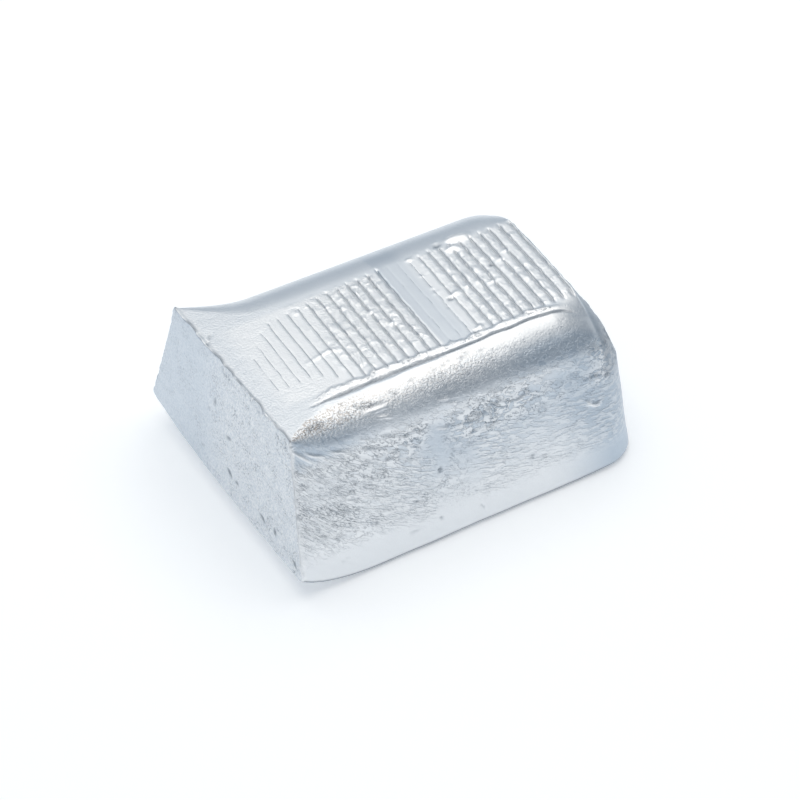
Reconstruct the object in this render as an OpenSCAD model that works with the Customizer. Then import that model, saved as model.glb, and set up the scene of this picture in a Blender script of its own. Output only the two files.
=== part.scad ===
// Master alloy ingot: one solid casting, lying on the face that was open in the mould.
// The bar runs along X. The -X end was cast against a flat stop plate and keeps sharp
// corners; the +X end was rounded by the mould. The ribbed face on top is the mould's floor.

/* [Body] */
// Length of the base along the middle of the bar
length = 80.7; // [66:0.1:110]
// Overall width of the base
width = 60.5; // [50:0.5:80]
// Height from the base to the ribbed face
height = 34.5; // [28:0.5:42]
// Round of the edge between the base and the walls
base_edge_radius = 1.2; // [0.4:0.1:2]

/* [Draft] */
// Lean of the two long walls from upright, in degrees
side_draft = 13; // [5:0.5:16]
// Lean of the end that was cast against the stop plate
plate_draft = 4.4; // [0:0.2:8]
// Lean of the rounded end
end_draft = 1.4; // [0:0.2:5]

/* [Shoulders] */
// Edge round that is left at the stop plate
plate_edge_radius = 0.4; // [0.2:0.1:1]
// Front shoulder radius beside the stop plate, after the flare
front_radius_start = 5.9; // [3:0.1:9]
// Front shoulder radius at the rounded end
front_radius_end = 10.4; // [5:0.1:11]
// Length over which the front shoulder grows out of the sharp corner
front_flare = 11.8; // [4:0.1:25]
// Back shoulder radius beside the stop plate, after the flare
back_radius_start = 11.8; // [5:0.1:13]
// Back shoulder radius at the rounded end
back_radius_end = 14.6; // [5:0.1:15]
// Length over which the back shoulder grows out of the sharp corner
back_flare = 16; // [6:0.5:30]

/* [Rounded end] */
// Radius of the end shoulder at the front wall
end_radius_front = 16; // [8:0.5:18]
// Radius of the end shoulder at the back wall
end_radius_back = 13; // [8:0.5:18]
// Distance from the rounded end to the brow, where the ribbed face stops
brow_margin = 6.8; // [4:0.1:8]
// Half width of the round on the brow
brow_round = 0.35; // [0.1:0.05:1]
// Distance from the middle of the bar at which the brow starts to melt into the shoulders
brow_reach = 12; // [8:0.5:18]
// Length over which it melts
brow_melt = 6.5; // [4:0.5:12]
// Plan radius of the two upright corners
corner_radius = 8; // [3:0.1:9]
// Swing of the rounded end out of square, in degrees
end_skew = 1; // [0:0.1:3]

/* [Lifted base] */
// Height of the base above the floor at the stop plate, front corner
lift_front = 4.6; // [0:0.1:8]
// The same in the middle of the plate
lift_middle = 4.3; // [0:0.1:8]
// The same at the back corner
lift_back = 7; // [0:0.1:9]
// Length over which the base curls up to the stop plate
lift_run = 19; // [10:0.5:30]
// Height of the base above the floor at the front corner of the rounded end
end_lift = 0.8; // [0:0.1:2]
// Length over which that corner curls up
end_lift_run = 18; // [8:0.5:30]

/* [Flash] */
// Lip that the joint of mould and stop plate left along the top edge
flash_height = 0.25; // [0.1:0.05:0.4]
// Height of the lip where it ends in a horn, at the back corner
horn_height = 0.55; // [0.4:0.05:0.9]
// Length of the horn along the edge
horn_run = 3.5; // [2:0.5:8]
// Width of the lip at its root
flash_width = 1.2; // [0.6:0.1:2]

/* [Ribs] */
// Distance from one groove to the next
rib_pitch = 2.5; // [2:0.1:4]
// Distance from the stop plate to the first groove
first_groove = 6; // [4:0.1:12]
// Least distance from the last groove to the rounded end
last_groove_margin = 7; // [6:0.5:20]
// Depth of a fully formed groove
groove_depth = 0.4; // [0.1:0.05:0.6]
// Long flank of a groove, on the side of the stop plate
groove_long_flank = 0.75; // [0.3:0.05:0.9]
// Short flank of a groove, on the side of the rounded end
groove_short_flank = 0.4; // [0.2:0.05:0.7]
// Number of grooves in the panel beside the stop plate
first_panel_grooves = 15; // [6:1:18]
// Number of grooves over which the other panel deepens to full depth
second_panel_fade = 4; // [1:1:8]
// Swing of the grooves out of square, in degrees
rib_skew = 2.2; // [0:0.1:4]

/* [Lap line] */
// Distance of the fold in the skin from the middle of the bar
lap_offset = 16.1; // [12:0.1:18]
// How far the fold has dropped down the shoulder at its end
lap_drop = 1.8; // [0:0.1:3]
// Length over which it drops
lap_drop_run = 11; // [5:0.5:20]
// Distance from the stop plate to the start of the fold
lap_start = 9; // [5:0.5:20]
// Distance from the end of the fold to the rounded end
lap_end_margin = 9; // [6:0.5:20]
// Length over which the fold opens and closes
lap_fade = 6; // [2:0.5:10]
// Width of the fold
lap_width = 0.9; // [0.4:0.1:1.5]
// Depth of the fold
lap_depth = 0.5; // [0.1:0.05:0.8]
// Smooth rim between the fold and the ends of the grooves
rim_width = 1.3; // [0.6:0.1:3]

/* [Hidden] */

// Facets of one shoulder, and sections over the flare and over the end shoulder
shoulder_facets = 7;
flare_stations = 6;
end_stations = 10;
// Run-out of a groove at the rim, and the share of a shoulder that the fold stays above
groove_runout = 0.6;
lap_limit = 0.8;
// Depth below the top over which the walls of the bar rise with the lip
flash_root = 2;

half_length = length / 2;
side_slope = tan(side_draft);
plate_low = min(lift_front, lift_middle, lift_back);
edge_out = base_edge_radius * (1 - cos(side_draft));
edge_top = base_edge_radius * (1 + sin(side_draft));
base_edge_angles = [side_draft, 0, -45, -90];
groove_count = floor((length - first_groove - last_groove_margin) / rib_pitch) + 1;
first_groove_x = first_groove - half_length;
last_groove_x = first_groove_x + rib_pitch * (groove_count - 1);
brow_x = half_length - brow_margin;

function clip(t) = min(max(t, 0), 1);
function ease_out(t) = clip(t) * (2 - clip(t));
function lerp(a, b, t) = a + (b - a) * t;
function from_plate(s) = s + half_length;
function along(s) = from_plate(s) / length;

// How far a quarter round has fallen after a run from its start
function round_drop(run, radius) = radius * (1 - sqrt(1 - pow(clip(run / radius), 2)));

// A ramp of slope 1 that starts at zero, with its corner rounded over a half width
function ramp(run, soft) =
    run < -soft ? 0 : run > soft ? run : pow(run + soft, 2) / (4 * soft);

// Fall of the end shoulder at a station: flat to the brow, then down the straight line that
// runs from the brow to where it touches the quarter round, then down the round itself
function brow_drop(s, radius) =
    let (
        run = s - half_length + radius,
        touch = 2 * atan(max(radius - brow_margin, 0) / radius)
    )
    run < radius * sin(touch)
        ? tan(touch) * ramp(s - brow_x, brow_round)
        : round_drop(run, radius);

// The same at a distance y from the middle: towards the shoulders the brow melts away
function end_drop(s, y, radius) =
    lerp(brow_drop(s, radius), round_drop(s - half_length + radius, radius),
         clip((abs(y) - brow_reach) / brow_melt));

// Half width of the base, narrowed by the round upright corners
function half_width(s) = width / 2 - round_drop(s - half_length + corner_radius, corner_radius);

// Distance of a long wall from the middle of the bar, at a height
function wall_at(s, z) = half_width(s) - edge_out - side_slope * (z - edge_top);

// Shoulder radii along the bar: a sharp corner at the plate that flares to the full round
function shoulder_radius(s, start, end, flare) =
    max(plate_edge_radius, lerp(start, end, along(s)) * ease_out(from_plate(s) / flare));
function front_radius(s) = shoulder_radius(s, front_radius_start, front_radius_end, front_flare);
function back_radius(s) = shoulder_radius(s, back_radius_start, back_radius_end, back_flare);

// Distance from the middle of the bar at which a shoulder of radius r leaves the flat top
function shoulder_start(s, r) = wall_at(s, height - r) - r / cos(side_draft);

// Points [distance out, height] down a shoulder, from the angle a to the wall
function shoulder(s, r, a) = [
    for (i = [0 : shoulder_facets])
        let (t = lerp(a, side_draft, i / shoulder_facets))
        [shoulder_start(s, r) + r * cos(t), height - r + r * sin(t)]
];

// Points round the base edge: from the wall, past the widest point, to the base
function base_edge(s) = [
    for (t = base_edge_angles)
        [half_width(s) - base_edge_radius * (1 - cos(t)), base_edge_radius * (1 + sin(t))]
];

// Height of the top face at a distance out, on the flat or on a shoulder of radius r
function top_at(s, r, out) =
    height - round_drop(out - shoulder_start(s, r), r);

// The fold in the skin: its distance out, which drops towards the rounded end, and its depth
function lap_out(s) =
    let (
        r = front_radius(s),
        dropped = clip((s - half_length + lap_end_margin + lap_drop_run) / lap_drop_run)
    )
    min(lap_offset + lap_drop * pow(dropped, 2), shoulder_start(s, r) + lap_limit * r - lap_width);
function lap_cut(s) =
    lap_depth * clip((from_plate(s) - lap_start) / lap_fade)
    * clip((half_length - lap_end_margin - s) / lap_fade);

// Angle at which the front shoulder meets the lower lip of the fold
function lap_angle(s) =
    let (r = front_radius(s), past = lap_out(s) + lap_width / 2 - shoulder_start(s, r))
    acos(clip(past / r));

// Depth of a groove by its number: each panel deepens towards the rounded end
function groove_cut(i) =
    i < first_panel_grooves
        ? groove_depth * pow((i + 1) / first_panel_grooves, 1.5)
        : groove_depth * clip((i - first_panel_grooves + 0.5) / second_panel_fade);

// Half sections as [y, z], seen towards the plate: front from base to top, back from top to base
function front_half(s, cut) =
    let (
        r = front_radius(s),
        lap = lap_out(s),
        lip = lap_width / 2,
        rim = lap - lip - rim_width,
        edge = base_edge(s),
        round_side = shoulder(s, r, lap_angle(s))
    )
    concat(
        [for (i = [len(edge) - 1 : -1 : 0]) [-edge[i][0], edge[i][1]]],
        [for (i = [shoulder_facets : -1 : 1]) [-round_side[i][0], round_side[i][1]]],
        [[-lap - lip, top_at(s, r, lap + lip)]],
        [[-lap, top_at(s, r, lap) - lap_cut(s)]],
        [[-lap + lip, top_at(s, r, lap - lip)]],
        [[-rim, top_at(s, r, rim)]],
        [[-rim + groove_runout, top_at(s, r, rim - groove_runout) - cut]]
    );
function back_half(s, cut) =
    let (r = back_radius(s), round_side = shoulder(s, r, 90))
    concat(
        [[round_side[0][0], round_side[0][1] - cut]],
        [for (i = [1 : shoulder_facets]) round_side[i]],
        base_edge(s)
    );
function base_line(s) =
    let (inner = half_width(s) - base_edge_radius)
    [for (t = [0.5, 0, -0.5]) [inner * t, 0]];
function section(s, cut) = concat(front_half(s, cut), back_half(s, cut), base_line(s));

// Lift of the base: a curl at the stop plate, higher at one corner, and one corner of the far end
function lift_at(s, y) =
    let (
        t = 2 * y / width,
        corner = t < 0 ? lift_front : lift_back,
        plate_curl = pow(1 - clip(from_plate(s) / lift_run), 2),
        end_curl = pow(clip((s - half_length) / end_lift_run + 1), 2)
    )
    lerp(lift_middle, corner, t * t) * plate_curl + end_lift * pow(clip(-t), 2) * end_curl;

// Rise of the top edge into the lip at the stop plate, with the horn at the back corner
function flash_at(s, y, z) =
    let (
        corner = wall_at(-half_length, height),
        horn = pow(clip((y - corner) / horn_run + 1), 2),
        taper = pow(1 - clip(from_plate(s) / flash_width), 2)
    )
    lerp(flash_height, horn_height, horn) * taper * clip((z - height) / flash_root + 1);

// Swing of a section out of square
function skew_at(s) =
    tan(rib_skew) * clip(from_plate(s) / first_groove)
    - (tan(rib_skew) - tan(end_skew)) * clip((s - last_groove_x) / (half_length - last_groove_x));

// A point of the section at station s, with lip, end shoulder, lift, end drafts and swing applied
function placed(s, point) =
    let (
        y = point[0],
        end_radius = lerp(end_radius_front, end_radius_back, clip(y / width + 0.5)),
        drop = end_drop(s, y, end_radius),
        risen = point[1] + flash_at(s, y, point[1]),
        fallen = risen * (1 - drop / height),
        z = fallen + lift_at(s, y) * (1 - fallen / height),
        plate = tan(plate_draft) * (z - plate_low) * (1 - along(s)),
        far_end = tan(end_draft) * z * along(s)
    )
    [s + plate - far_end + skew_at(s) * y, y, z];

// Stations along the bar as [position, groove depth]
flare_list = [
    for (i = [0 : flare_stations - 1])
        [first_groove * 0.8 * pow(i / (flare_stations - 1), 1.5) - half_length, 0]
];
groove_list = [
    for (i = [0 : groove_count - 1])
        let (x = first_groove_x + rib_pitch * i)
        each [[x - groove_long_flank, 0], [x, groove_cut(i)], [x + groove_short_flank, 0]]
];
largest_end_radius = max(end_radius_front, end_radius_back);
last_flank = last_groove_x + groove_short_flank;
brow_list = [for (x = [brow_x, brow_x + brow_round]) if (x > last_flank + 0.05) [x, 0]];
last_station = max(last_flank, brow_x + brow_round);
end_start = asin(clip(1 - (half_length - last_station) / largest_end_radius));
end_list = [
    for (i = [1 : end_stations])
        let (t = lerp(end_start, 90, i / end_stations))
        [max(half_length - largest_end_radius * (1 - sin(t)),
             lerp(last_station, half_length, i / end_stations / 2)), 0]
];
stations = concat(flare_list, groove_list, brow_list, end_list);

// One closed skin lofted through the sections, with its plan box centred on the origin.
// Each flat end is a fan about its own middle point.
module ingot() {
    rings = [for (st = stations) [for (p = section(st[0], st[1])) placed(st[0], p)]];
    ring_size = len(rings[0]);
    ring_count = len(rings);
    end_middles = [for (s = [-half_length, half_length]) placed(s, [0, height / 2])];
    xs = [for (ring = rings, p = ring) p[0]];
    middle_x = (min(xs) + max(xs)) / 2;
    raw = concat([for (ring = rings, p = ring) p], end_middles);
    points = [for (p = raw) [p[0] - middle_x, p[1], p[2]]];
    plate_middle = ring_size * ring_count;
    end_middle = plate_middle + 1;
    last_ring = plate_middle - ring_size;
    skin = [
        for (i = [0 : ring_count - 2], j = [0 : ring_size - 1])
            let (
                a = i * ring_size + j,
                b = i * ring_size + (j + 1) % ring_size,
                c = b + ring_size,
                d = a + ring_size
            )
            each [[a, b, c], [a, c, d]]
    ];
    flat_ends = [
        for (j = [0 : ring_size - 1])
            let (k = (j + 1) % ring_size)
            each [[plate_middle, k, j], [end_middle, last_ring + j, last_ring + k]]
    ];
    color([0.80, 0.82, 0.85])
    polyhedron(points = points, faces = concat(skin, flat_ends), convexity = 6);
}

ingot();
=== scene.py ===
import itertools
import math

import bmesh
import bpy
import numpy as np
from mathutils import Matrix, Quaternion, Vector


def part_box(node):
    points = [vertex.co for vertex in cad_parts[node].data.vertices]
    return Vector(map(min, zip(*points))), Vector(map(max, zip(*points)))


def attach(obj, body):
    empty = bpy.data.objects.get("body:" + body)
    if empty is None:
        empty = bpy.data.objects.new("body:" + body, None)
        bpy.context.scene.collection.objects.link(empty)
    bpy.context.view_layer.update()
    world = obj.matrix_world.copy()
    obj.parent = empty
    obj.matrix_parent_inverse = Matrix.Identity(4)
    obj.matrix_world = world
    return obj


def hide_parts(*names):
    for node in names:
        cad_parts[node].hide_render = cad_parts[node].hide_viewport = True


bl_info = {
    "name": "Master alloy ingot",
    "version": (1, 0, 0),
    "blender": (4, 5, 0),
    "location": "3D View > Sidebar > Ingot",
    "description": "Cast skin, metal and studio of a small ribbed master alloy ingot",
    "category": "Object",
}

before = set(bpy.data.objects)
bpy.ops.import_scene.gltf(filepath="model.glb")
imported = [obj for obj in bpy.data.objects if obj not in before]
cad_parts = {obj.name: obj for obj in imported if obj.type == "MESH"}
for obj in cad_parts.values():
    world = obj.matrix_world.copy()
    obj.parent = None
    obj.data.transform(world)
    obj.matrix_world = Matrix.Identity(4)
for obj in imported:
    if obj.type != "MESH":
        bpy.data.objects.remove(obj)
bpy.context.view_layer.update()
NODE = "ingot"
MM = 0.001
BOX_LOW, BOX_HIGH = (np.array(corner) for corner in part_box(NODE))
BOX_SIZE = BOX_HIGH - BOX_LOW

# What the lip at the stop plate adds to the height, and the swing of the end to the length
LIP_RISE = 0.417 * MM
END_REACH = 0.377 * MM


# ---------------------------------------------------------------- properties


def length_prop(name, millimetres, description):
    """A length that shows in the scene's units."""
    return bpy.props.FloatProperty(
        name=name, description=description, default=millimetres * MM, precision=5,
        subtype="DISTANCE", unit="LENGTH")


def angle_prop(name, degrees, description):
    return bpy.props.FloatProperty(
        name=name, description=description, default=math.radians(degrees), subtype="ANGLE")


def factor_prop(name, default, description):
    return bpy.props.FloatProperty(
        name=name, description=description, default=default, min=0.0, max=1.0, subtype="FACTOR")


def colour_prop(name, colour, description):
    return bpy.props.FloatVectorProperty(
        name=name, description=description, default=linear(colour)[:3], size=3, subtype="COLOR")


def linear(colour):
    """An sRGB hex colour such as "#c8ccd0" as linear red, green, blue and alpha."""
    parts = [int(colour[i:i + 2], 16) / 255 for i in (1, 3, 5)]
    lin = [p / 12.92 if p <= 0.04045 else ((p + 0.055) / 1.055) ** 2.4 for p in parts]
    return (*lin, 1.0)


class IngotSizes(bpy.types.PropertyGroup):
    """The plain bar: the same sizes as the solid casting."""
    length: length_prop("Length", (BOX_SIZE[0] - END_REACH) / MM, "Base along its middle")
    width: length_prop("Width", BOX_SIZE[1] / MM, "Overall width of the base")
    height: length_prop("Height", (BOX_SIZE[2] - LIP_RISE) / MM, "Base to the ribbed face")
    base_edge: length_prop("Base edge", 1.2, "Round between the base and the walls")
    side_draft: angle_prop("Side draft", 13, "Lean of the long walls")
    plate_draft: angle_prop("Plate draft", 4.4, "Lean of the flat end")
    end_draft: angle_prop("End draft", 1.4, "Lean of the rounded end")
    sharp_radius: length_prop("Sharp edge", 0.4, "Shoulder round at the stop plate")
    front_start: length_prop("Front shoulder", 5.9, "Front radius beside the plate")
    front_end: length_prop("Front shoulder, end", 10.4, "Front radius at the rounded end")
    front_flare: length_prop("Front flare", 11.8, "Run over which it opens")
    back_start: length_prop("Back shoulder", 11.8, "Back radius beside the plate")
    back_end: length_prop("Back shoulder, end", 14.6, "Back radius at the rounded end")
    back_flare: length_prop("Back flare", 16, "Run over which it opens")
    end_front: length_prop("End shoulder, front", 16, "Radius at the front wall")
    end_back: length_prop("End shoulder, back", 13, "Radius at the back wall")
    brow: length_prop("Brow", 6.8, "Distance from the rounded end to where the ribs stop")
    brow_round: length_prop("Brow round", 0.35, "Half width of the round on the brow")
    brow_reach: length_prop("Brow reach", 12, "Where it starts to melt into the shoulders")
    brow_melt: length_prop("Brow melt", 6.5, "Length over which it melts")
    corner: length_prop("Upright corners", 8, "Plan radius of the rounded end")
    end_skew: angle_prop("End swing", 1, "Swing of the rounded end out of square")
    lift_front: length_prop("Lift, front", 4.6, "Curl of the base at the plate")
    lift_middle: length_prop("Lift, middle", 4.3, "The same at the middle")
    lift_back: length_prop("Lift, back", 7, "The same at the back")
    lift_run: length_prop("Lift run", 19, "Length of that curl")
    end_lift: length_prop("End lift", 0.8, "Curl at the front corner of the rounded end")
    end_lift_run: length_prop("End lift run", 18, "Length of that curl")
    lip: length_prop("Lip", 0.25, "Flash along the edge of the stop plate")
    horn: length_prop("Horn", 0.55, "Flash at the back corner")
    horn_run: length_prop("Horn run", 3.5, "Length of the horn")
    lip_width: length_prop("Lip width", 1.2, "Width of the flash at its root")
    plate_edge: length_prop("Plate edge", 0.25, "Wear of the edge round the flat end")


class ReliefSizes(bpy.types.PropertyGroup):
    """What the mould and the metal's flow left on the skin."""
    pitch: length_prop("Rib pitch", 2.5, "Groove to groove")
    first: length_prop("First groove", 6, "Distance from the stop plate")
    depth: length_prop("Groove depth", 0.4, "Depth of a full groove")
    long_flank: length_prop("Long flank", 0.75, "Flank on the plate's side")
    short_flank: length_prop("Short flank", 0.4, "Flank on the rounded end's side")
    skew: angle_prop("Rib swing", 2.2, "Swing of the grooves out of square")
    fold_out: length_prop("Fold", 16.1, "Distance of the fold from the middle")
    fold_width: length_prop("Fold width", 0.9, "Opening of the fold")
    fold_depth: length_prop("Fold depth", 0.5, "Depth of the fold")
    rim: length_prop("Rim", 1.3, "Smooth strip between the fold and the grooves")
    grooves: bpy.props.IntProperty(name="Grooves", description="Grooves in all", default=28)
    first_panel: bpy.props.IntProperty(
        name="First panel", description="Grooves in the worn panel beside the plate", default=15)


class MetalLook(bpy.types.PropertyGroup):
    """Colours and gloss of the metal."""
    bright: colour_prop("Bright skin", "#eef0f2", "Clean chilled metal")
    # The oxide colour is also laid on as painted shade and taken off as painted highlight
    dull_and_shade: colour_prop("Oxide skin", "#bfcad5", "Where the oxide film is thicker")
    # The pit colour is also laid on as painted shade in grooves, in the crease, beside lips, under
    # the base edge and round the end
    soot_and_shade: colour_prop("Pits", "#6f7a86", "Mould dressing caught in pits")
    stain: colour_prop("Stain", "#a69c94", "Warm grains of mould dressing")
    roughness: factor_prop("Roughness", 0.38, "Gloss of the as-cast skin")
    polish: factor_prop("Polish", 0.08, "How much smoother the chilled bands are")
    grain: length_prop("Grain", 0.008, "Height of the dressing grain")
    peel: length_prop("Peel", 0.11, "Height of peeled patches")
    streak: length_prop("Streak", 0.08, "Height of flow streaks")
    sugar: length_prop("Sugar", 0.06, "Height of sugary grains")
    specks: length_prop("Specks", 0.12, "Depth of the fine pits")


class StudioLook(bpy.types.PropertyGroup):
    """Floor, lamp and camera."""
    floor: colour_prop("Floor", "#f2f4f6", "Pale table")
    dim_side: colour_prop("Dim side", "#76828e", "Room light at the horizon, in front")
    pale_side: colour_prop("Pale side", "#b2bcc6", "Room light at the horizon, behind")
    overhead: colour_prop("Overhead", "#d6dbe0", "Room light overhead")
    lamp: colour_prop("Lamp", "#fff7ec", "Soft box")
    lamp_power: bpy.props.FloatProperty(
        name="Lamp power", description="Power of the soft box", default=4.0,
        subtype="POWER", unit="POWER")
    lamp_size: length_prop("Lamp size", 1050, "Edge of the soft box")
    lamp_height: length_prop("Lamp height", 850, "Height of the soft box")
    azimuth: angle_prop("Azimuth", -31.87, "Side that the camera stands on")
    elevation: angle_prop("Elevation", 42.23, "Height of the camera above the horizon")
    roll: angle_prop("Roll", 0.59, "Tilt of the camera about its own axis")
    distance: length_prop("Distance", 618.9, "From the camera to the point it looks at")
    lens: bpy.props.FloatProperty(
        name="Lens", description="Focal length", default=139.5, subtype="DISTANCE_CAMERA",
        unit="CAMERA")


# ---------------------------------------------------------------- small maths


def clip01(t):
    return np.clip(t, 0.0, 1.0)


def lerp(a, b, t):
    return a + (b - a) * t


def smooth(t, low=0.0, high=1.0):
    """0 below low, 1 above high, and an even curve between."""
    t = clip01((t - low) / (high - low))
    return t * t * (3 - 2 * t)


def round_drop(run, radius):
    """How far a quarter round has fallen after a run from its start."""
    return radius * (1 - np.sqrt(1 - clip01(run / radius) ** 2))


def mound(distance):
    """A round-topped bump: 1 in the middle and 0 from a distance of 1 on either side."""
    return (1 - clip01(np.abs(distance)) ** 2) ** 2


def hump(distance, reach):
    """A mound with its reach in millimetres."""
    return mound(distance / (reach * MM))


def rise(value, low, high):
    """0 below a low place and 1 above a high one, both in millimetres."""
    return smooth(value, low * MM, high * MM)


def fall(value, low, high):
    """1 below a low place and 0 above a high one, both in millimetres."""
    return smooth(-value, -high * MM, -low * MM)


def ladder(index, counts, stops):
    """Place of a grid line where `counts` lines share each gap between neighbouring stops."""
    place, first = stops[0], 0
    for count, low, high in zip(counts, stops, stops[1:]):
        place = place + clip01((index - first) / count) * (high - low)
        first += count
    return place


# The noise repeats after this many lumps
NOISE_CELLS = 61


class Noise:
    """Smooth seeded noise in space, the same on every run."""

    def __init__(self, seed):
        self.values = np.random.default_rng(seed).uniform(-1, 1, (NOISE_CELLS,) * 3)

    def plain(self, points, size):
        """From -1 to 1, in lumps of a size: one number, or one for each axis."""
        scaled = points / size
        cell = np.floor(scaled).astype(int)
        t = scaled - cell
        t = t * t * (3 - 2 * t)
        total = np.zeros(len(points))
        for corner in itertools.product((0, 1), repeat=3):
            share = np.prod(np.where(corner, t, 1 - t), axis=1)
            total += share * self.values[tuple(((cell + corner) % NOISE_CELLS).T)]
        return total

    def __call__(self, points, size, octaves):
        """Several sizes of lumps at once, each half as large as the one before."""
        total = 0
        for k in range(octaves):
            total = total + self.plain(points + k * size, size / 2 ** k) / 2 ** k
        return total


# ---------------------------------------------------------------- the plain bar

# Grid lines along the bar: over the first land, in each rib pitch, and round the end
EDGE_LINES, PITCH_LINES, END_LINES = 16, 7, 28
# The last lines start this far past the bottom of the last groove, close together over the brow
END_START = 0.28 * MM
BROW_LINES = 6
# Grid lines over the top: front shoulder, fold, ribs and back shoulder
TOP_LINES = (14, 12, 74, 18)
# Grid lines up a wall: round the base edge, and from there to the middle of the shoulder
WALL_LINES = (6, 74)
# How far the lines crowd together in the grooves, at the plate and towards the shoulders
RIB_CROWDING = 0.6
EDGE_CROWDING = 1.6
WALL_CROWDING = 0.35
# Half the width of the band of close lines at the fold
FOLD_BAND = 1.1 * MM
# Angle up a shoulder's round at which the lines of the wall meet those of the top
MID_SHOULDER = math.radians(45)
# Depth below the top over which the walls rise with the lip
LIP_ROOT = 2 * MM
# Near the rounded end the fold swerves outwards, but stays on the top of its shoulder
SWERVE = 1.8 * MM
SWERVE_START = 20 * MM
SWERVE_RUN = 11 * MM
FOLD_LIMIT = 0.8


class BarForm:
    """The plain casting as formulas: s runs along the bar from its middle, y across, z up."""

    def __init__(self, sizes, relief):
        self.z = sizes
        self.r = relief
        self.half_length = sizes.length / 2
        self.slope = math.tan(sizes.side_draft)
        self.edge_top = sizes.base_edge * (1 + math.sin(sizes.side_draft))
        self.edge_out = sizes.base_edge * (1 - math.cos(sizes.side_draft))
        self.first = relief.first - self.half_length
        self.last = self.first + relief.pitch * (relief.grooves - 1)

    def from_plate(self, s):
        return s + self.half_length

    def along(self, s):
        return self.from_plate(s) / self.z.length

    def half_width(self, s):
        corner = self.z.corner
        return self.z.width / 2 - round_drop(s - self.half_length + corner, corner)

    def wall_at(self, s, height):
        return self.half_width(s) - self.edge_out - self.slope * (height - self.edge_top)

    def shoulder_radius(self, s, side):
        """Radius of the front (-1) or back (1) shoulder: sharp at the plate, then flaring."""
        z = self.z
        start = np.where(side < 0, z.front_start, z.back_start)
        end = np.where(side < 0, z.front_end, z.back_end)
        t = clip01(self.from_plate(s) / np.where(side < 0, z.front_flare, z.back_flare))
        return np.maximum(z.sharp_radius, lerp(start, end, self.along(s)) * t * (2 - t))

    def shoulder_start(self, s, radius):
        return self.wall_at(s, self.z.height - radius) - radius / math.cos(self.z.side_draft)

    def fold_out(self, s):
        """Distance of the fold from the middle of the bar."""
        radius = self.shoulder_radius(s, -1)
        swerve = clip01((s - self.half_length + SWERVE_START) / SWERVE_RUN) ** 2
        limit = self.shoulder_start(s, radius) + FOLD_LIMIT * radius - self.r.fold_width
        return np.minimum(self.r.fold_out + SWERVE * swerve, limit)

    def stations(self):
        """Places of the grid lines along the bar: close together at the plate and in grooves."""
        pitch, start = self.r.pitch, self.first - self.r.pitch / 2
        t = np.arange(EDGE_LINES) / EDGE_LINES
        edge = (start + self.half_length) * t ** EDGE_CROWDING - self.half_length
        t = np.arange(PITCH_LINES * self.r.grooves) / PITCH_LINES
        crowd = RIB_CROWDING * np.sin(math.tau * (t - 0.5)) / math.tau
        ribs = start + pitch * (t - crowd)
        ribs = ribs[ribs < self.last + END_START]
        # Close lines over the brow, then an even turn round the end shoulder
        lines = PITCH_LINES * self.r.grooves + END_LINES - len(ribs)
        brow = self.half_length - self.z.brow
        over = np.linspace(self.last + END_START, brow + 1.5 * self.z.brow_round, BROW_LINES + 1)
        radius = (self.z.end_front + self.z.end_back) / 2
        open_angle = math.asin(1 - (self.half_length - over[-1]) / radius)
        angles = np.linspace(open_angle, math.pi / 2, lines - BROW_LINES + 1)
        end = self.half_length - radius * (1 - np.sin(angles))
        return np.concatenate([edge, ribs, over[:-1], end])

    def over_top(self, s, line):
        """Section points across the top, from the middle of one shoulder to the other's."""
        front, back = self.shoulder_radius(s, -1), self.shoulder_radius(s, 1)
        front_start, back_start = self.shoulder_start(s, front), self.shoulder_start(s, back)
        front_mid = front_start + front * math.cos(MID_SHOULDER)
        back_mid = back_start + back * math.cos(MID_SHOULDER)
        fold = np.minimum(self.fold_out(s), front_mid - 2 * FOLD_BAND)
        stops = [-front_mid, -fold - FOLD_BAND, -fold + FOLD_BAND, back_start, back_mid]
        y = ladder(line, TOP_LINES, stops)
        drop = np.where(y < 0, round_drop(-y - front_start, front),
                        round_drop(y - back_start, back))
        return y, self.z.height - drop

    def up_wall(self, s, line, side):
        """Section points up a wall, from under its base edge to the middle of its shoulder."""
        radius, draft = self.shoulder_radius(s, side), self.z.side_draft
        base = self.z.base_edge
        foot = lerp(-math.pi / 2, draft, clip01(line / WALL_LINES[0]))
        out = self.half_width(s) - base * (1 - np.cos(foot))
        up = base * (1 + np.sin(foot))
        tangent = self.z.height - radius * (1 - math.sin(draft))
        wall = (tangent - self.edge_top) / math.cos(draft)
        run = clip01((line - WALL_LINES[0]) / WALL_LINES[1])
        run = run * (1 + WALL_CROWDING * (1 - run)) * (wall + radius * (MID_SHOULDER - draft))
        turn = draft + (run - wall) / radius
        centre = self.shoulder_start(s, radius)
        on_wall, on_round = line > WALL_LINES[0], run > wall
        height = self.edge_top + run * math.cos(draft)
        out = np.where(on_wall, self.wall_at(s, height), out)
        up = np.where(on_wall, height, up)
        out = np.where(on_round, centre + radius * np.cos(turn), out)
        up = np.where(on_round, self.z.height - radius * (1 - np.sin(turn)), up)
        return side * out, up

    def section(self, s, across, up):
        """Section points for grid lines across and up: a patch stretched in the outline, so
        lines on its border lie on the skin and the rest fill the two ends."""
        a, b = across / sum(TOP_LINES), up / sum(WALL_LINES)
        inner = self.half_width(s) - self.z.base_edge
        top = np.array(self.over_top(s, across))
        base = np.array([lerp(-inner, inner, a), np.zeros(len(s))])
        front, back = np.array(self.up_wall(s, up, -1)), np.array(self.up_wall(s, up, 1))
        ends = sum(WALL_LINES) + np.zeros(len(s))
        front_top, back_top = (np.array(self.up_wall(s, ends, side)) for side in (-1, 1))
        front_foot, back_foot = (np.array([w * inner, np.zeros(len(s))]) for w in (-1, 1))
        corners = (lerp(front_foot, back_foot, a) * (1 - b) + lerp(front_top, back_top, a) * b)
        return lerp(base, top, b) + lerp(front, back, a) - corners

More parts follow.
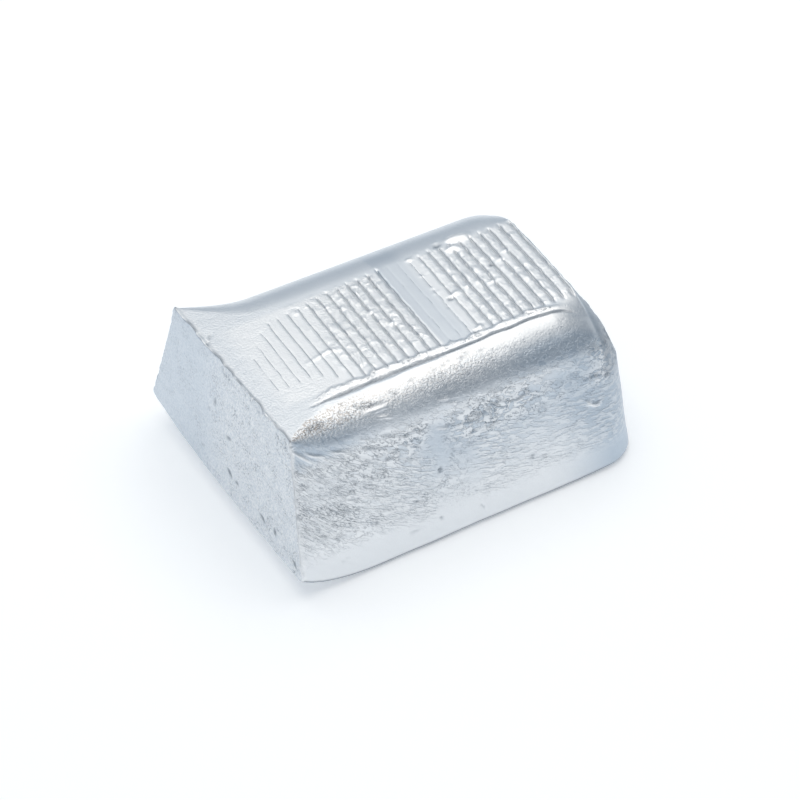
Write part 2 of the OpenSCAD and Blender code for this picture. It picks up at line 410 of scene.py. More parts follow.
    def lift(self, s, y):
        """Height of the curled base above the floor."""
        z = self.z
        t = 2 * y / z.width
        corner = np.where(t < 0, z.lift_front, z.lift_back)
        plate_curl = (1 - clip01(self.from_plate(s) / z.lift_run)) ** 2
        end_curl = clip01((s - self.half_length) / z.end_lift_run + 1) ** 2
        return (lerp(z.lift_middle, corner, t * t) * plate_curl
                + z.end_lift * clip01(-t) ** 2 * end_curl)

    def flash(self, s, y, height):
        """Rise of the top edge into the lip at the stop plate, with its horn."""
        z = self.z
        corner = self.wall_at(-self.half_length, z.height)
        horn = clip01((y - corner) / z.horn_run + 1) ** 2
        taper = (1 - clip01(self.from_plate(s) / z.lip_width)) ** 2
        return lerp(z.lip, z.horn, horn) * taper * clip01((height - z.height) / LIP_ROOT + 1)

    def end_drop(self, s, y, radius):
        """Fall of the end shoulder: a flat top, a brow, and a straight run onto the round."""
        z = self.z
        run = s - self.half_length + radius
        touch = 2 * np.arctan(np.maximum(radius - z.brow, 0) / radius)
        soft, past = z.brow_round, s - self.half_length + z.brow
        ramp = np.where(past > soft, past, np.maximum(past + soft, 0) ** 2 / (4 * soft))
        plain = round_drop(run, radius)
        brow = np.where(run < radius * np.sin(touch), np.tan(touch) * ramp, plain)
        return lerp(brow, plain, clip01((np.abs(y) - z.brow_reach) / z.brow_melt))

    def swing(self, s):
        rib, end = math.tan(self.r.skew), math.tan(self.z.end_skew)
        past = clip01((s - self.last) / (self.half_length - self.last))
        return rib * clip01(self.from_plate(s) / self.r.first) - (rib - end) * past

    def place(self, s, across, up):
        """Points in space for stations and grid lines."""
        z = self.z
        y, height = self.section(s, across, up)
        # Wear at the plate draws the section in towards its middle
        worn = 1 - round_drop(z.plate_edge - self.from_plate(s), z.plate_edge) / (z.width / 3)
        middle = z.height / 2
        y, height = y * worn, middle + (height - middle) * worn
        radius = lerp(z.end_front, z.end_back, clip01(y / z.width + 0.5))
        drop = self.end_drop(s, y, radius)
        fallen = (height + self.flash(s, y, height)) * (1 - drop / z.height)
        high = fallen + self.lift(s, y) * (1 - fallen / z.height)
        low = min(z.lift_front, z.lift_middle, z.lift_back)
        x = (s + math.tan(z.plate_draft) * (high - low) * (1 - self.along(s))
             - math.tan(z.end_draft) * high * self.along(s) + self.swing(s) * y)
        return np.stack([x + BOX_LOW[0] - x.min(), y, high], axis=1)


def cut_box(counts):
    """A cube whose six sides are cut into grids, with the underside left twice as coarse."""
    bm = bmesh.new()
    bmesh.ops.create_cube(bm, size=2.0)
    for axis, count in enumerate(counts):
        runs = [e for e in bm.edges if abs(e.verts[0].co[axis] - e.verts[1].co[axis]) > 1]
        bmesh.ops.subdivide_edges(bm, edges=runs, cuts=count // 2 - 1, use_grid_fill=True)
    seen = [f for f in bm.faces if f.normal.z > -0.5]
    edges = list({edge for face in seen for edge in face.edges})
    bmesh.ops.subdivide_edges(bm, edges=edges, cuts=1, use_grid_fill=True)
    return bm


def read(items, name, width):
    """A vertex quantity of a mesh as an array."""
    values = np.empty(len(items) * width, np.float32)
    items.foreach_get(name, values)
    return values.reshape(-1, width).astype(float)


def move_vertices(mesh, places):
    mesh.vertices.foreach_set("co", places.astype(np.float32).ravel())
    mesh.update()


def keep_vector(mesh, name, parts):
    """Keeps three numbers for each vertex, for the material to read."""
    layer = mesh.attributes.new(name, "FLOAT_VECTOR", "POINT")
    layer.data.foreach_set("vector", np.stack(parts, axis=1).astype(np.float32).ravel())


# ---------------------------------------------------------------- relief

# Beads and blisters on the ribbed face: along, across, half length, half width, turn, height
BEADS = (
    (20.9, 12.3, 3.6, 1.7, -8, 0.62), (18.4, 10.0, 2.2, 1.2, 2, 0.48),
    (11.6, -2.1, 1.6, 0.75, 12, 0.34), (14.5, -1.6, 0.9, 0.95, 0, 0.34),
    (10.2, -13.2, 1.1, 0.95, 30, 0.36), (24.6, 2.2, 1.2, 0.8, 15, 0.24),
    (27.0, 3.9, 0.9, 0.9, 0, 0.26), (19.7, -2.8, 0.9, 0.8, 0, 0.26),
    (-3.9, -3.4, 1.2, 0.8, 20, 0.26), (-5.6, 1.6, 0.8, 0.7, 0, 0.22),
    (9.0, 11.4, 1.0, 0.5, 0, 0.18), (-10.2, -6.2, 1.0, 0.7, 30, 0.22),
)
# Dark pits on the same face: along, across, half length, half width, turn, depth
TOP_PITS = (
    (16.1, 12.4, 1.3, 0.8, 10, 0.30), (9.9, -2.9, 0.8, 0.6, -20, 0.45),
    (8.7, -13.8, 0.6, 0.8, 0, 0.35), (22.3, 1.8, 0.8, 0.6, 0, 0.30),
    (-37.6, 9.8, 1.3, 0.5, 55, 0.20), (-36.4, 11.6, 1.6, 0.4, 60, 0.18),
)
# Small pits along the top of the front shoulder, in the same terms
SHOULDER_PITS = (
    (-9.0, -19.1, 1.6, 0.45, 5, 0.10), (-3.8, -18.9, 1.3, 0.45, 4, 0.13),
    (-1.6, -18.6, 1.1, 0.45, 8, 0.14), (-0.2, -18.2, 0.45, 0.8, 20, 0.20),
    (2.6, -18.6, 1.3, 0.45, 10, 0.13), (3.8, -18.1, 0.45, 0.7, 20, 0.22),
    (7.2, -18.6, 1.8, 0.45, 3, 0.12), (-0.4, -17.0, 0.5, 0.45, 0, 0.12),
)
# Lips of set metal on the front shoulder: along, height above the base, half length, half
# width, turn, how far they stand out, and where the painted shadow line beside each lies, in half
# widths
SHOULDER_LIPS = (
    (-18.4, 32.8, 3.9, 0.55, -3, 0.50, 1.1), (-17.6, 31.4, 2.3, 0.42, -14, 0.34, -1.3),
    (-4.6, 30.4, 1.5, 0.4, -12, 0.20, -1.4), (-2.8, 28.9, 1.2, 0.4, -20, 0.16, -1.4),
)
# Lap wrinkles and pits of the front wall: along, height, half length, half width, turn, size
LAPS = (
    (-36.1, 30.4, 4.2, 0.55, -46, 0.55), (-34.6, 30.4, 1.8, 0.45, -38, 0.30),
    (-33.0, 29.4, 2.8, 0.50, -27, 0.50), (-31.2, 27.9, 1.8, 0.45, -24, 0.32),
    (-28.3, 28.4, 2.8, 0.55, -20, 0.50), (-26.6, 27.2, 2.3, 0.50, -32, 0.45),
    (-24.6, 25.6, 1.6, 0.45, -30, 0.34), (-37.4, 27.2, 2.2, 0.45, -50, 0.30),
    (-35.6, 26.0, 2.0, 0.40, -44, 0.26), (-20.6, 27.6, 1.5, 0.45, -20, 0.28),
    (-14.9, 26.2, 1.9, 0.45, -16, 0.34), (-12.6, 27.4, 1.4, 0.40, -12, 0.28),
    (-22.4, 28.6, 2.4, 0.45, -22, 0.32), (-5.6, 24.4, 2.2, 0.45, -20, 0.34),
    (6.4, 27.0, 1.8, 0.40, 10, 0.26), (11.8, 24.0, 2.2, 0.45, 16, 0.30),
)
FRONT_PITS = (
    (-7.3, 15.9, 0.8, 0.5, 40, 0.45), (-12.9, 10.9, 1.6, 0.35, -10, 0.25),
    (-26.0, 14.9, 0.8, 0.5, 30, 0.28), (-22.4, 10.1, 0.9, 0.4, 10, 0.25),
    (-8.2, 5.5, 0.6, 0.4, 0, 0.28), (0.2, 8.2, 0.6, 0.4, 0, 0.25),
    (3.2, 7.8, 0.9, 0.35, -15, 0.20), (1.2, 4.0, 0.9, 0.3, -35, 0.22),
    (13.6, 10.3, 0.9, 0.5, 15, 0.30), (-14.5, 4.8, 2.2, 0.3, 6, 0.12),
    (-30.2, 5.2, 1.2, 0.3, 5, 0.15), (16.0, 9.6, 1.4, 0.3, -10, 0.16),
)
# Pits of the flat end: across, height, half length, half width, turn, depth
PLATE_PITS = (
    (-1.6, 10.4, 1.5, 0.7, 25, 0.5), (-4.4, 10.0, 1.0, 0.5, -10, 0.4),
    (-14.8, 9.2, 1.6, 0.6, 20, 0.4), (-19.6, 9.4, 0.8, 0.9, 0, 0.5),
    (-27.2, 7.4, 1.4, 0.6, 30, 0.35), (5.4, 23.4, 0.7, 1.6, 10, 0.22),
    (-0.5, 18.6, 1.6, 0.6, -20, 0.3), (9.5, 9.2, 1.3, 0.3, -35, 0.25),
)
# Pebbles scattered over both panels, away from the stop plate
PEBBLES = 150
# Ends of the full grooves in front of and behind the middle, in millimetres, and the length
# over which a groove runs out
RIBS_FRONT, RIBS_BACK = 14.3, 12
RUN_OUT = 0.6 * MM
# The fold keeps this far from both ends, and fades in and out over these lengths
FOLD_MARGIN, FOLD_FADE_IN, FOLD_FADE_OUT = 9 * MM, 4 * MM, 6 * MM
# Foot of the fold's steep side, in front of its line
FOLD_FOOT = 0.1 * MM
# Middle of the crescent scar on the front wall, along and up, and its radius
SCAR_X, SCAR_Z, SCAR_RADIUS = 29.8 * MM, 18.2 * MM, 2.7 * MM
# Slope of the lines of flow at the stop plate, and the length over which they level out
FLOW_SLOPE, FLOW_RUN = 1.1, 22 * MM


def oval(x, y, spot, lean=0.0):
    """Bump of a placed oval, with its height in millimetres as its last number. With a lean
    its high side is the far one, so it has a long near face."""
    along, across, length, width, turn, size = spot
    angle = math.radians(turn)
    dx, dy = x - along * MM, y - across * MM
    u = (dx * math.cos(angle) + dy * math.sin(angle)) / (length * MM)
    v = (dy * math.cos(angle) - dx * math.sin(angle)) / (width * MM)
    return mound(np.hypot(u, v)) * (1 + lean * v) * size * MM


class Skin:
    """Relief and finish of every point of the skin, from its place and the way it faces. Places
    and sizes given to rise, fall, hump and lumps are millimetres in the shared frame."""

    def __init__(self, form, place, normal, station, across):
        self.form, self.s, self.across, self.p = form, station, across, place
        self.x, self.y, self.z = place.T
        self.noise = [Noise(seed) for seed in range(6)]
        # The relief is a height. The rest are shares: chilled polish, warm stain, soot in pits and
        # painted shade, peeled, streaked and sugary skin, oxide film with painted shade and painted
        # highlight, fine pits, and distance from a groove
        (self.relief, self.polish, self.stain, self.soot_and_shade, self.peel, self.streak, self.sugar,
         self.film, self.specks) = np.zeros((9, len(place)))
        self.from_groove = np.ones(len(place))
        # How far each point faces forward or up, and which faces of the bar it is on
        self.forward, self.up = -normal[:, 1], normal[:, 2]
        self.top = smooth(self.up, 0.72, 0.94)
        self.ribbed = smooth(self.up, 0.35, 0.6)
        self.front = smooth(self.forward, 0.20, 0.60)
        self.back = smooth(-self.forward, 0.20, 0.60)
        self.plate = smooth(-normal[:, 0], 0.60, 0.95)
        self.end = smooth(normal[:, 0], 0.20, 0.70)

        # Lines of flow on the long walls fall steeply by the plate and run level at the far end
        fallen = FLOW_SLOPE * FLOW_RUN * np.exp(-form.from_plate(self.x) / FLOW_RUN)
        sink = (0.1 * self.x - fallen) * smooth(np.abs(self.forward), 0.3, 0.6)
        self.flow = place + np.outer(sink, (0, 0, 1))

    def lumps(self, seed, *size, octaves=1, at=None):
        """Noise from -1 to 1, in lumps of one size or of three, in millimetres."""
        points = self.p if at is None else at
        return self.noise[seed](points, np.array(size) * MM, octaves)

    def sooty_pits(self, x, y, pits, face, depth=1.0, soot_depth=0.3):
        """Placed pits with dressing in them. One as deep as soot_depth, in mm, is quite dark."""
        for spot in pits:
            pit = oval(x, y, spot) * face
            self.relief -= depth * pit
            self.soot_and_shade += pit / (soot_depth * MM)

    def cast_everywhere(self):
        """Slow waves of a cast face, calmer on the ribbed face."""
        wave = self.lumps(0, 11, octaves=2)
        fine = self.lumps(1, 1.6, octaves=2)
        calm = lerp(1.0, 0.22, np.maximum(self.top, rise(self.y, 8, 16)))
        self.relief += (0.09 * wave * calm + 0.02 * fine * calm) * MM

    def grooves(self):
        """Cross grooves in two panels: thin and worn by the plate, then full and regular."""
        r, form = self.form.r, self.form
        number = np.round((self.s - form.first + (r.long_flank - r.short_flank) / 2) / r.pitch)
        number = np.clip(number, 0, r.grooves - 1)
        # Each groove wanders by a lane of its own through the noise
        lane = np.stack([number * 7 * MM, self.y, 0 * self.y], axis=1)
        wander = 0.10 * MM * self.lumps(2, 2.2, at=lane)
        wander = wander + 0.08 * MM * self.lumps(5, 0.9, at=lane) * (number > 5)
        gap = self.s - form.first - r.pitch * number + wander
        # Shares of full depth and full width, which grow along each panel
        panel_one = number < r.first_panel
        faint = 0.08 + 0.055 * number
        growth = np.where(panel_one, np.where(number < 7, faint, lerp(0.6, 1.0, (number - 7) / 7)),
                          lerp(0.06, 1.0, smooth(number, r.first_panel + 1, 20.5)))
        narrow = np.where(panel_one, lerp(0.3, 0.58, clip01((number - 4) / 6)),
                          lerp(0.45, 0.75, smooth(number, 16, 20)))
        cut = clip01(1 - np.where(gap < 0, -gap / r.long_flank, gap / r.short_flank) / narrow)
        # The first few grooves are short in front, and the first panel fans out behind
        front_end = np.where(panel_one, lerp(9.4, RIBS_FRONT, smooth(number, 3, 7)), RIBS_FRONT)
        fan = np.minimum(2 + 3.1 * number, 9 + 0.25 * number)
        back_end = np.where(panel_one, fan, RIBS_BACK) * MM + 0.5 * MM * self.lumps(3, 3, at=lane)
        ends = clip01((self.y + front_end * MM) / RUN_OUT) * clip01((back_end - self.y) / RUN_OUT)
        # Part of the depth is lost in patches, most of all in the middle of the first panel
        broken = np.where(panel_one & (number > 6), 0.45, 0.15)
        broken = broken * clip01(self.lumps(4, 1.1, at=lane + self.p * 0.4) + 0.2)
        depth = r.depth * growth * (1 - broken)
        self.relief -= depth * cut * ends * self.ribbed
        # Soot in the bottom of each groove: painted shade
        self.soot_and_shade += 0.55 * growth * smooth(cut, 0.45, 0.9) * ends * self.ribbed
        thin = lerp(0.05, 0.22, clip01(growth)) * MM
        clear = np.where(panel_one, 1.0, lerp(0.68, 1.0, clip01(3 * growth)))
        self.from_groove = clip01(1 - clear * clip01(ends * self.ribbed - 0.4 * np.abs(gap) / thin))
        crest = hump(gap - 0.62 * r.short_flank - 0.3 * MM, 0.4) * ends * self.ribbed
        self.relief += 0.05 * MM * growth * crest

    def lands(self):
        """Skin between the grooves: flakes in the first panel and streaks in the second."""
        inside = clip01(self.y / MM + RIBS_FRONT) * clip01(RIBS_BACK - self.y / MM) * self.ribbed
        rough_panel = rise(self.x, -23, -13) * fall(self.x, -0.2, 0.6)
        rough_panel = rough_panel * rise(self.y, -13, -9)
        flakes = self.lumps(5, 0.5, 0.8, 3)
        self.relief += 0.24 * MM * smooth(flakes, 0.15, 0.6) * rough_panel * inside
        regular = rise(self.x, 9, 14) * inside
        streaks = self.lumps(5, 0.5, 1.3, 3)
        self.relief += 0.15 * MM * smooth(streaks, 0.15, 0.5) * regular
        self.sugar += (0.8 * rough_panel + 0.45 * regular) * inside
        self.sugar += 0.3 * fall(self.x, -24, -18) * self.top
        # The blank land between the panels, and the worn ribs beside the plate
        blank = rise(self.x, 1.2, 1.7) * fall(self.x, 6, 10)
        worn = 0.5 * fall(self.x, -27, -20)
        ribs = rise(self.x, -36, -31)
        self.polish += (0.8 * blank + worn) * rise(self.y, -14.5, -13) * self.top
        self.film += (0.35 + 0.15 * blank - 0.30 * inside * (1 - blank) * ribs) * self.top

    def fold(self):
        """The fold where two fronts of metal met, with the smooth rim above it."""
        r, form = self.form.r, self.form
        start = clip01((form.from_plate(self.s) - FOLD_MARGIN) / FOLD_FADE_IN)
        stop = clip01((form.half_length - FOLD_MARGIN - self.s) / FOLD_FADE_OUT)
        line = np.stack([self.s, 0 * self.s, 0 * self.s], axis=1)
        wander = 0.14 * MM * self.lumps(2, 4, at=line)
        out = -self.across - form.fold_out(self.s) + wander
        open_middle = 0.95 + 0.85 * hump(self.s + 11 * MM, 24)
        width = r.fold_width / 2 * open_middle * (1 + 0.3 * self.lumps(3, 2.5, at=line))
        face = smooth(self.up, 0.5, 0.7) * start * stop
        # A steep side under the rim, and the shoulder close below it
        past_foot = out - FOLD_FOOT
        under_rim = clip01(out / width + 1)
        rising = clip01(1 - past_foot / (0.25 * MM))
        self.relief -= 1.3 * r.fold_depth * under_rim * rising * face
        self.relief += 0.26 * MM * clip01(past_foot / width) * face * fall(out, 0.3, 4.5)
        # The steep side and the crease get soot as painted shade
        side = smooth(out, -width, -0.1 * width) * fall(out, 0.1, 0.3)
        self.soot_and_shade += (0.75 * side + 1.2 * hump(out - 0.14 * MM, 0.28)) * face
        self.sugar += 0.9 * side * face
        crease = 0.4 * np.abs(past_foot) / (0.17 * MM) + 1 - face
        self.from_groove = np.minimum(self.from_groove, clip01(crease))
        # The rim leans forward from a ragged inner edge
        inner = r.rim + width + 0.5 * MM * self.lumps(4, 1.5, octaves=3, at=line)
        lean = clip01(-out / inner) * smooth(out, -inner - 0.45 * MM, -inner)
        pebbles = self.lumps(5, 1.1, 0.8, 1.1)
        uneven = 0.85 + 0.6 * pebbles * fall(out, -0.9, -0.5)
        self.relief += 0.40 * MM * lean * uneven * face * rise(self.s, -31, -20)
        self.sugar += 0.6 * lean * face
        self.specks += 0.6 * smooth(lean, 0, 0.3) * fall(out, -0.9, -0.5) * face
        # Less film on the rim: a painted highlight
        self.film -= 0.35 * smooth(lean, 0, 0.3) * face

    def spots(self):
        """Beads, blisters, pits and one wrinkle that lie where they do by chance."""
        # A bead covers the marks under it
        for spot in BEADS:
            bead = oval(self.x, self.y, spot, 0.7) * self.top
            cover = 1 - clip01(3 * bead / (spot[-1] * MM))
            self.relief = self.relief * cover + bead
            self.soot_and_shade *= cover
            self.sugar *= cover
            self.film *= cover
            self.from_groove = lerp(1.0, self.from_groove, cover)
        self.sooty_pits(self.x, self.y, TOP_PITS, self.top)
        rng = np.random.default_rng(8)
        for _ in range(PEBBLES):
            along, across = rng.uniform(-16, 31), rng.uniform(-13.5, 11.5)
            size = rng.uniform(0.3, 0.65)
            height = rng.uniform(0.07, 0.2) * (1 if rng.random() < 0.75 else -1)
            if 0.5 < along < 8:
                continue
            spot = (along, across, size, size * rng.uniform(0.7, 1.5), rng.uniform(-90, 90), height)
            self.relief += oval(self.x, self.y, spot) * self.top
        # A low wrinkle along the worn ribs beside the plate
        t = (self.x + 25.2 * MM) / (9.6 * MM)
        line = np.stack([self.x, 0 * self.x, 0 * self.x], axis=1)
        middle = lerp(-5.6, -3.6, t) * MM + 0.7 * MM * self.lumps(3, 2.4, at=line)
        ridge = hump(self.y - middle, 0.55) * (0.6 + 0.5 * self.lumps(2, 1.4, at=line))
        self.relief += 0.24 * MM * ridge * clip01(8 * t) * clip01(8 * (1 - t)) * self.top

    def shoulder_marks(self):
        """Pits, grains and lips that cold metal left on the front shoulder."""
        self.sooty_pits(self.x, self.y, SHOULDER_PITS, self.ribbed)
        # Sugary grains on the band that faces half up, coarser towards the plate
        band = smooth(self.forward, 0.25, 0.5) * smooth(self.up, 0.4, 0.62)
        grains = self.lumps(5, 0.55) + self.lumps(4, 0.9)
        near_plate = fall(self.x, -33, -12)
        self.relief += (0.006 + 0.022 * near_plate) * MM * grains * band
        far_grain = lerp(0.65, 0.22, rise(self.x, 0, 22))
        self.sugar += lerp(far_grain, 0.9, near_plate) * band
        self.peel += 0.3 * smooth(self.forward, 0.5, 0.75) * rise(self.z, 25, 28)
        lit = smooth(self.up, 0.6, 0.85) * smooth(self.forward, 0.05, 0.15)
        self.specks += lit * lerp(0.12, 0.35, near_plate)
        self.stain += lit * lerp(lerp(0.35, 0.0, rise(self.x, 0, 20)), 0.9, near_plate)
        # Less film on the lit band: a painted highlight
        self.film -= lerp(0.35, 0.1, near_plate) * lit * self.top
        # Painted shade dims the top of the shoulder at its far end and its lower side in the middle
        high = smooth(self.forward, 0.12, 0.3) * smooth(self.up, 0.72, 0.85)
        low = smooth(self.forward, 0.5, 0.65) * smooth(self.up, 0.3, 0.5)
        far = rise(self.x, 8, 20) * (1 - 0.7 * rise(self.x, 24, 31))
        self.soot_and_shade += 0.2 * far * high + 0.25 * hump(self.x - 1 * MM, 16) * low
        # Each lip wipes the marks under it, loses its film as a painted highlight, and has a
        # painted shadow line beside it
        facing = smooth(self.forward, 0.3, 0.5)
        for along, height, length, width, turn, size, shade in SHOULDER_LIPS:
            lip = oval(self.x, self.z, (along, height, length, width, turn, size), -0.8) * facing
            cover = clip01(3 * lip / (size * MM))
            self.relief += lip
            self.film -= 1.5 * cover
            for marks in (self.sugar, self.stain, self.specks, self.soot_and_shade):
                marks *= 1 - cover
            line = (along, height + shade * width, 0.9 * length, 0.6 * width, turn, 1)
            self.soot_and_shade += 2.0 * size * oval(self.x, self.z, line) / MM * facing

    def walls(self):
        """Peeled, pitted and streaked skin of the long walls and the rounded end."""
        walls = np.maximum(np.maximum(self.front, self.back), self.end)
        # Peeled skin high up and beside the plate, with pits and thin laps in it
        patch = self.lumps(0, 8, octaves=2, at=self.p + 31 * MM)
        below_band = fall(self.z, 26, 30)
        left = fall(self.x, -8, 2) * rise(self.z, 6, 10)
        upper = rise(self.z, 17, 22)
        peeled = clip01(np.maximum(left, upper) * (0.7 + 0.75 * patch)) * below_band * walls
        bumps = self.lumps(1, 1.5, 1.0, 0.9, at=self.flow)
        pits = smooth(-bumps, 0.2, 0.6)
        self.relief += peeled * MM * (0.05 * bumps - 0.15 * pits)
        laps = self.lumps(4, 3.4, 2.0, 1.5, at=self.flow)
        laps = laps + 0.35 * self.lumps(5, 1.3, 1.0, 0.6, at=self.flow)
        self.relief += 0.16 * MM * smooth(laps, -0.02, 0.16) * peeled
        # Streaks lower down, to either side of the middle
        bars = self.lumps(3, 4.5, 2.0, 0.75, at=self.flow)
        streaked = rise(np.abs(self.x + 4 * MM), 1, 9)
        streaked = streaked * lerp(1.0, 0.55, rise(self.x, 2, 16))
        streaked = streaked * fall(self.z, 18, 25) * rise(self.z, 2, 5)
        self.relief += 0.055 * MM * bars * streaked * walls
        # A step round the far end, and a smooth foot where the metal froze at once
        edge = 21.8 * MM + 0.8 * MM * self.lumps(2, 2.5)
        proud = rise(edge - self.z, 0, 0.5) * rise(self.z, 6, 16)
        self.relief += 0.28 * MM * proud * rise(self.x, 31, 37) * walls
        foot_height = lerp(8, 13, fall(self.x, -28, -12)) * MM
        foot = rise(foot_height - self.z, 0, 4)
        self.polish += 0.5 * foot * walls + 0.9 * self.back * smooth(self.up, 0.3, 0.5)
        self.peel += peeled
        self.specks += clip01(0.2 + 0.5 * peeled) * walls * (1 - foot)
        wrinkled = fall(self.x, -28, -20) * rise(self.z, 22, 24) * fall(self.z, 27, 30)
        self.streak += np.maximum(streaked * (1 - foot), wrinkled) * walls
        # Film: less at the cleaner foot, by the plate and high up; more at middle heights, where it
        # is painted shade, and more still round the far end
        fair = fall(self.x, -24, -6)
        dull_and_shade = lerp(0.8 - 0.6 * fair, 0.1, fall(self.z, 6, 22))
        self.film += dull_and_shade * lerp(0.3, 1.0, fall(self.z, 24, 28)) * walls
        # Painted shade on the underside of the base edge
        self.soot_and_shade += smooth(-self.up, 0.0, 0.3) * walls
        # More film and a little soot towards the far end
        far = rise(self.x, 16, 40) * walls * (1 - smooth(self.up, 0.4, 0.7))
        self.film += 1.2 * far
        self.soot_and_shade += 0.16 * far * rise(self.z, 4, 14)
        # Painted shade round the end shoulder past the brow
        painted_shade_past_brow = rise(self.s - self.form.half_length + self.form.z.brow, 0, 1)
        self.soot_and_shade += 0.7 * painted_shade_past_brow * rise(self.z, 16, 28)
        self.film += painted_shade_past_brow
        # Painted shade: film on the band under the front shoulder, more away from the middle
        band = smooth(self.forward, 0.5, 0.75) * rise(self.z, 26, 30)
        self.film += band * lerp(0.1, 0.9, rise(np.abs(self.x + 5 * MM), 10, 26))

    def front_marks(self):
        """Lap wrinkles by the plate, a crescent scar and single pits on the front wall."""
        face = self.front
        for spot in LAPS:
            lap = oval(self.x, self.z, spot, -0.8)
            self.relief += 0.6 * lap * face
            # Less film on each lap: a painted highlight
            self.film -= 2.0 * lap / MM * face
        # The scar is an arc of a ring, on its lower side and towards the plate
        dx, dz = self.x - SCAR_X, self.z - SCAR_Z
        turn = np.degrees(np.arctan2(dz, dx))
        arc = smooth(-np.abs(turn + 118), -52, -34)
        scar = hump(np.hypot(dx, dz * 1.05) - SCAR_RADIUS, 0.55) * arc * face
        self.relief += 0.42 * MM * scar
        # Less film and soot on the scar: a painted highlight
        self.film -= 1.5 * scar
        self.soot_and_shade -= 0.5 * scar
        self.sooty_pits(self.x, self.z, FRONT_PITS, face)

    def plate_face(self):
        """Sugary face that froze against the stop plate, with a crease near its foot."""
        grains = self.lumps(4, 0.9) + self.lumps(5, 1.4)
        toward_front = fall(self.y, -4, 14)
        self.sugar += lerp(0.35, 1.0, toward_front) * self.plate
        self.film += lerp(0.8, 0.55, toward_front) * self.plate
        self.specks += lerp(0.3, 0.7, toward_front) * self.plate
        self.relief += 0.035 * MM * grains * self.sugar
        # The crease: the face below a wavy line stands back
        crest = 7.3 * MM + 3.2 * MM * hump(self.y - 6.5 * MM, 9)
        crest = crest + 0.5 * MM * self.lumps(0, 3)
        below = rise(crest - self.z, -0.25, 0.25)
        near = rise(self.y, -8, 2)
        self.relief -= 0.3 * MM * below * near * self.plate
        self.sooty_pits(self.y, self.z, PLATE_PITS, self.plate, 1.2, 0.26)

    def base(self):
        """Faint ripples of the free surface on the underside, all of them cut upwards."""
        ripple = self.lumps(0, 4.0, 9.0, 9.0, octaves=2)
        under = smooth(-self.up, 0.9, 0.99)
        self.relief = np.where(under > 0, -0.08 * MM * clip01(ripple + 0.3) * under, self.relief)

    def edge_burrs(self):
        """Ragged joint line round the flat end: it wanders, and stands up in small burrs."""
        d = self.form.from_plate(self.s)
        line = np.stack([0 * self.y, self.y, self.z], axis=1)
        calm = clip01(d / (0.5 * MM))
        self.relief *= lerp(0.35, 1.0, calm)
        ragged = self.lumps(1, 2.6, octaves=3, at=line)
        reach = hump(d, 2.2)
        wander = 0.32 * MM * ragged * reach * lerp(0.3, 1.0, rise(self.z, 30, 33))
        near_edge = hump(d, 1.6) * rise(self.z, 2, 5) * (1 - self.plate)
        # Chips along the upright edges with worn bright metal on their corner, and a painted
        # highlight down the upright corner of the front wall
        chips = smooth(self.lumps(3, 1.1, at=line + 40 * MM), 0.1, 0.6)
        self.relief -= 0.22 * MM * chips * near_edge * (1 - self.top)
        self.sugar += 0.8 * near_edge * self.front
        self.film -= 0.5 * near_edge
        upright = hump(d, 1.1) * (1 - self.ribbed) * self.front
        self.film -= 1.2 * upright
        for marks in (self.soot_and_shade, self.specks, self.peel, self.streak):
            marks *= 1 - 0.8 * clip01(1.5 * upright)
        joint = hump(d, 0.7) * self.ribbed * smooth(ragged, -0.6, 0.0)
        self.soot_and_shade += 0.9 * joint + rise(self.z, 34.7, 34.85)
        burr = clip01(self.lumps(2, 1.5, octaves=2, at=line + 9 * MM)) * 0.28 * MM
        return wander, burr * hump(d, 0.7) * rise(self.z, 33.5, 34.2)


def shape_casting(bm, sizes, relief):
    """Moves the cut box's points onto the bar, adds its relief, and keeps the finish of each."""
    form = BarForm(sizes, relief)
    stations = form.stations()
    counts = np.array([len(stations) - 1, sum(TOP_LINES), sum(WALL_LINES)])
    mesh = bpy.data.meshes.new(NODE + "_skin")
    bm.to_mesh(mesh)
    bm.free()
    cube = read(mesh.vertices, "co", 3)
    lines = (cube + 1) / 2 * counts
    station = stations[np.round(lines[:, 0]).astype(int)]
    place = form.place(station, lines[:, 1], lines[:, 2])
    move_vertices(mesh, place)
    normal = read(mesh.vertex_normals, "vector", 3)
    across = form.section(station, lines[:, 1], lines[:, 2])[0]
    skin = Skin(form, place, normal, station, across)
    for step in (skin.cast_everywhere, skin.grooves, skin.lands, skin.fold, skin.spots,
                 skin.shoulder_marks, skin.walls, skin.front_marks, skin.plate_face, skin.base):
        step()
    wander, burr = skin.edge_burrs()
    place = place + normal * skin.relief[:, None]
    place[:, 0] += wander
    place[:, 2] += burr
    move_vertices(mesh, np.clip(place, BOX_LOW, BOX_HIGH))
    for name, parts in (("finish", (skin.polish, skin.soot_and_shade, skin.stain)),
                        ("texture", (skin.peel, skin.streak, skin.sugar)),
                        ("cover", (skin.film, skin.specks, skin.from_groove))):
        keep_vector(mesh, name, clip01(parts))
    keep_vector(mesh, "flow", skin.flow.T)
    mesh.shade_smooth()
    return mesh


# ---------------------------------------------------------------- materials


def add_node(tree, kind, links=None, **settings):
    """Adds a node with its settings; links gives a socket a value, another node's output, or a
    node, whose first output is then taken."""
    node = tree.nodes.new(kind)
    for name, value in settings.items():
        setattr(node, name, value)
    for socket, value in (links or {}).items():
        if isinstance(value, bpy.types.Node):
            value = value.outputs[0]
        if isinstance(value, bpy.types.NodeSocket):
            tree.links.new(value, node.inputs[socket])
        else:
            node.inputs[socket].default_value = value
    return node


def new_material(name):
    material = bpy.data.materials.new(name)
    material.use_nodes = True
    material.node_tree.nodes.clear()
    return material, material.node_tree


MATHS = "ShaderNodeMath"
# Depth of the crisp line in a groove, and how far its line reaches in the kept distance
LINE_DEPTH = 0.05 * MM
LINE_REACH = (0.22, 0.5)
